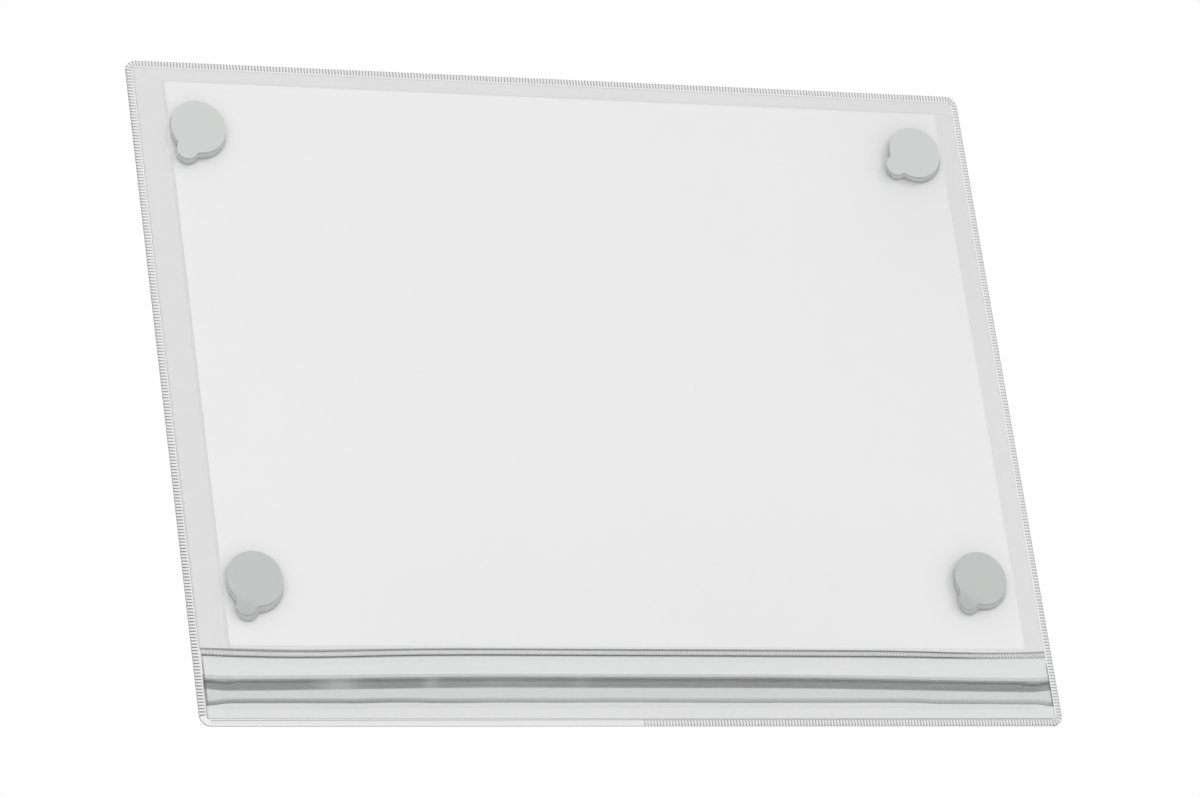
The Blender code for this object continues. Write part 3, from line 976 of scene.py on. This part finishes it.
def closure_flap():
    half = flap_high[0]

    def rows_at(x):
        up = SEAM_UP - hem_sag(x, False)
        low = SEAM_LOW - hem_sag(x, True)
        rib = RIB_Z - band_sag(x) + 0.7 * MM * (1 - side_rise(x))
        lip = max(LIP_Z - lip_sag(x) + 0.4 * MM * (1 - side_rise(x)), flap_low[2] - 0.5 * MM)
        wide = seam_width(x)
        column = [up + wide, up + wide * 0.5, up, up - wide * 0.5, up - wide]
        column.append((up + low) / 2)
        column += [low + 0.3 * MM, low + 0.15 * MM, low, low - 0.15 * MM, low - 0.3 * MM]
        column += spaced(low - 1.0 * MM, rib + 1.3 * MM, 7)
        column += [rib + 0.95 * MM, rib + 0.75 * MM, rib + 0.4 * MM, rib]
        column += [rib - 0.35 * MM, rib - 0.6 * MM, rib - 0.7 * MM]
        column += spaced(rib - 1.3 * MM, lip + 2.1 * MM, 5)
        column += [lip + 1.5 * MM, lip + 0.9 * MM, lip + 0.3 * MM, lip]
        return column

    upper_seam = range(0, 5)
    lower_seam = range(6, 11)
    rib_rows = range(18, 25)
    ridge = {1: 0.8, 2: 1.0, 3: 0.8, 7: 0.8, 8: 1.0, 9: 0.8}
    rib_depth = {19: 0.12, 20: 0.5, 21: 0.68, 22: 0.62, 23: 0.2}
    lip_shade = {30: 0.18, 31: 0.34, 32: 0.39, 33: 0.42}

    def outer_at(x, z, row):
        return flap_base(x, z) + FILM + 0.14 * MM * ridge.get(row, 0.0)

    def inner_at(x, z, row):
        level = flap_base(x, z)
        run = smooth_step((0.1565 - abs(x)) / (14 * MM))
        return level - (level - flap_low[1]) * rib_depth.get(row, 0.0) * run

    # Painted shade: dark lines along the hem's seams, which are partly the sealed seams themselves; the zip's
    # band along the rib; a dark fringe at the curling lip's lower edge, stronger on the left; and a line
    # where the ends are drawn down to the welds.
    def shade_at(x, z, row, outside):
        ends = 0.75 * smooth_step(1 - (half - abs(x)) / (0.45 * MM))
        ends *= smooth_step((-98 * MM - z) / (4 * MM))
        broad = 0.3 * MM / seam_width(x)
        fade = 1 - 0.65 * smooth_step((-x - 0.115) / 0.03)
        if row in upper_seam:
            return max((0.58 * broad ** 0.5 if row in ridge else 0.15) * fade, ends)
        if row in lower_seam:
            return max((0.86 if row in ridge else 0.2) * fade, ends)
        if row in rib_rows:
            return max((0.06 if row < 21 else 0.52) * (0.4 + 0.6 * pressed(x)), ends)
        return max(lip_shade.get(row, 0.0) * (1 + 0.4 * smooth_step((x - 0.04) / 0.06)), ends)

    piece = film_shell(
        "zip_flap", pinched_stations(half, 12, 150), rows_at, outer_at, inner_at, shade_at, closure_film
    )
    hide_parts("closure_flap")
    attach(piece, "flap")
    return piece


flap = closure_flap()
print("flap:", len(flap.data.polygons), "faces")


# %% Ribs of the hem
def hem_middle(x):
    z = (SEAM_UP - hem_sag(x, False) + SEAM_LOW - hem_sag(x, True)) / 2
    return (x, flap_base(x, z) + FILM, z)


def hem_rib_shade(point):
    """Painted shade on the hem's ribs: clear on the right, and hardly any on the left."""
    return 0.22 * smooth_step((0.030 - point.x) / 0.04)


hem_ribs = grow_ribs(
    "hem_ribs", [hem_middle(x) for x in spaced(-0.1570, 0.1570, 160)], False,
    1.17 * MM, 2.0 * MM, 0.55 * MM, 0.06 * MM, rib_film, hem_rib_shade,
)
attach(hem_ribs, "flap")
print("hem ribs:", len(hem_ribs.data.polygons), "faces")

# %% [markdown]
# ## Adhesive pads
# Each pad is a stack of die-cut layers: an adhesive, the foam, another adhesive and a satin release
# liner, all but the adhesives with a finger tab. The foam is soft, so its rims are rounded, its wall
# bulges a little and the stack has crept sideways under its own grip: the foot of the foam stands
# off from its face by a millimetre or so. Rings that follow the outline make the layers.

# %% Pad outline
PAD_RADIUS = 10 * MM
TAB_RADIUS = 3.8 * MM
TAB_CENTRE = 10.0 * MM
# Name, turn of the tab in degrees, lean of the stack and droop of the tab in millimetres.
PADS = [
    ("top_left", 30, (-1.1, -0.7), 0.05),
    ("top_right", 57, (-1.7, -0.4), 0.1),
    ("bottom_left", 23, (-1.1, -1.3), 0.9),
    ("bottom_right", 36, (-1.4, -0.8), 0.6),
]


def pad_outline(with_tab):
    """The die-cut outline as (across, along) points, its tab towards +along."""
    if not with_tab:
        turns = spaced(0, 2 * math.pi, 97)[:-1]
        return [(PAD_RADIUS * math.sin(turn), PAD_RADIUS * math.cos(turn)) for turn in turns]
    half_angle = math.asin(TAB_RADIUS / PAD_RADIUS)
    turns = spaced(half_angle, 2 * math.pi - half_angle, 84)
    points = [(PAD_RADIUS * math.sin(turn), PAD_RADIUS * math.cos(turn)) for turn in turns]
    for turn in spaced(-math.pi / 2, math.pi / 2, 20):
        points.append((TAB_RADIUS * math.sin(turn), TAB_CENTRE + TAB_RADIUS * math.cos(turn)))
    trios = [(points[i - 1], points[i], points[(i + 1) % len(points)]) for i in range(len(points))]
    return [tuple((p[k] + 2 * q[k] + r[k]) / 4 for k in (0, 1)) for p, q, r in trios]


def inset_points(points, inset):
    """The outline moved in by inset along its own normals."""
    result = []
    for index, (a, b) in enumerate(points):
        before = points[index - 1]
        after = points[(index + 1) % len(points)]
        run = Vector((after[0] - before[0], after[1] - before[1])).normalized()
        result.append((a + run.y * inset, b - run.x * inset))
    return result


print("points in a pad's outline:", len(pad_outline(True)), "and", len(pad_outline(False)))


# %% Pads
def pad_layers(name, tab_turn, lean, bend):
    """The foam, the glue under it and the liner of one pad. The wall adhesive is the CAD's own."""
    low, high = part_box(f"wall_adhesive_{name}")
    centre_x = (low[0] + high[0]) / 2
    centre_z = (low[2] + high[2]) / 2
    turn = math.radians(tab_turn)
    along = (math.sin(turn), -math.cos(turn))
    across = (-along[1], along[0])
    foam_low, foam_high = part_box(f"foam_pad_{name}")

    def place(point, y, share=0.0, droop=1.0):
        """A point of the outline at the level y, with share of the lean and of the tab's droop."""
        a, b = point
        bent = bend * MM * droop * smooth_step((b - 8.2 * MM) / (5.3 * MM))
        x = centre_x + across[0] * a + along[0] * b + lean[0] * MM * share
        z = centre_z + across[1] * a + along[1] * b + lean[1] * MM * share
        return (x, y - bent, z)

    def scaled(points, factor):
        return [(a * factor, b * factor) for a, b in points]

    tabbed = pad_outline(True)
    disc = pad_outline(False)
    foot_low, foot_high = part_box(f"pocket_adhesive_{name}")
    bottom, top = foam_low[1], foam_high[1]
    span = top - bottom
    rings = []
    for factor in (0.15, 0.5, 0.8, 0.96):
        rings.append([place(point, bottom, 1.0, 0.0) for point in scaled(tabbed, factor)])
    # Painted shade on the foam: darker at its foot and in a line just under the liner, as the last value of
    # each ring says.
    shades = [0.4] * len(rings)
    for inset, height, dark in (
        (0.1, 0.03, 0.4), (0.02, 0.12, 0.32), (-0.06, 0.35, 0.12), (-0.06, 0.6, 0.0),
        (0.0, 0.85, 0.02), (0.08, 0.95, 0.3), (0.22, 1.0, 0.4),
    ):
        y = bottom + span * height
        share = 1 - height
        shades.append(dark)
        rings.append([place(point, y, share, height) for point in inset_points(tabbed, inset * MM)])
    for factor in (0.9, 0.75, 0.6, 0.4, 0.2):
        rings.append([place(point, top, 0.0, 1.0) for point in scaled(tabbed, factor)])
    pad = stacked_rings(f"pad_foam_{name}", rings, foam, shades + [0.4] * 5)
    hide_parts(f"foam_pad_{name}")
    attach(pad, "pocket")

    glue_rings = []
    skin = foot_low[1] - 0.07 * MM
    for inset, y in ((2.0, skin), (1.54, skin), (1.5, (skin + foot_high[1]) / 2), (1.54, foot_high[1])):
        glue_rings.append([place(point, y, 1.0, 0.0) for point in inset_points(disc, inset * MM)])
    glue = stacked_rings(f"pad_glue_{name}", glue_rings, pale_adhesive)
    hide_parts(f"pocket_adhesive_{name}")
    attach(glue, "pocket")

    liner_low, liner_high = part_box(f"release_liner_{name}")
    under, over = liner_low[1], liner_high[1]
    liner_rings = []
    for factor in (0.2, 0.4, 0.6, 0.75, 0.9, 0.985):
        liner_rings.append([place(point, under, 0.0, 1.0) for point in scaled(tabbed, factor)])
    for inset, height in ((0.03, 0.15), (0.0, 0.5), (0.03, 0.85)):
        y = under + (over - under) * height
        liner_rings.append([place(point, y, 0.0, 1.0) for point in inset_points(tabbed, inset * MM)])
    for factor in (0.985, 0.9, 0.75, 0.6, 0.4, 0.2):
        liner_rings.append([place(point, over, 0.0, 1.0) for point in scaled(tabbed, factor)])
    liner = stacked_rings(f"pad_liner_{name}", liner_rings, liner_paper if "top" in name else shaded_lower_liner)
    # The lower pads' tabs darken towards their tips: painted shade.
    tab_shade = 0.0 if "top" in name else 0.16
    shade = liner.data.attributes["shade"].data
    for point in liner.data.vertices:
        reach = (point.co.x - centre_x) * along[0] + (point.co.z - centre_z) * along[1]
        shade[point.index].value = tab_shade * smooth_step((reach - 7 * MM) / (4 * MM))
    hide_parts(f"release_liner_{name}")
    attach(liner, f"liner_{name}")
    return pad, glue, liner


for pad_name, tab_turn, lean, bend in PADS:
    made = pad_layers(pad_name, tab_turn, lean, bend)
    print("pad", pad_name, [len(piece.data.polygons) for piece in made])
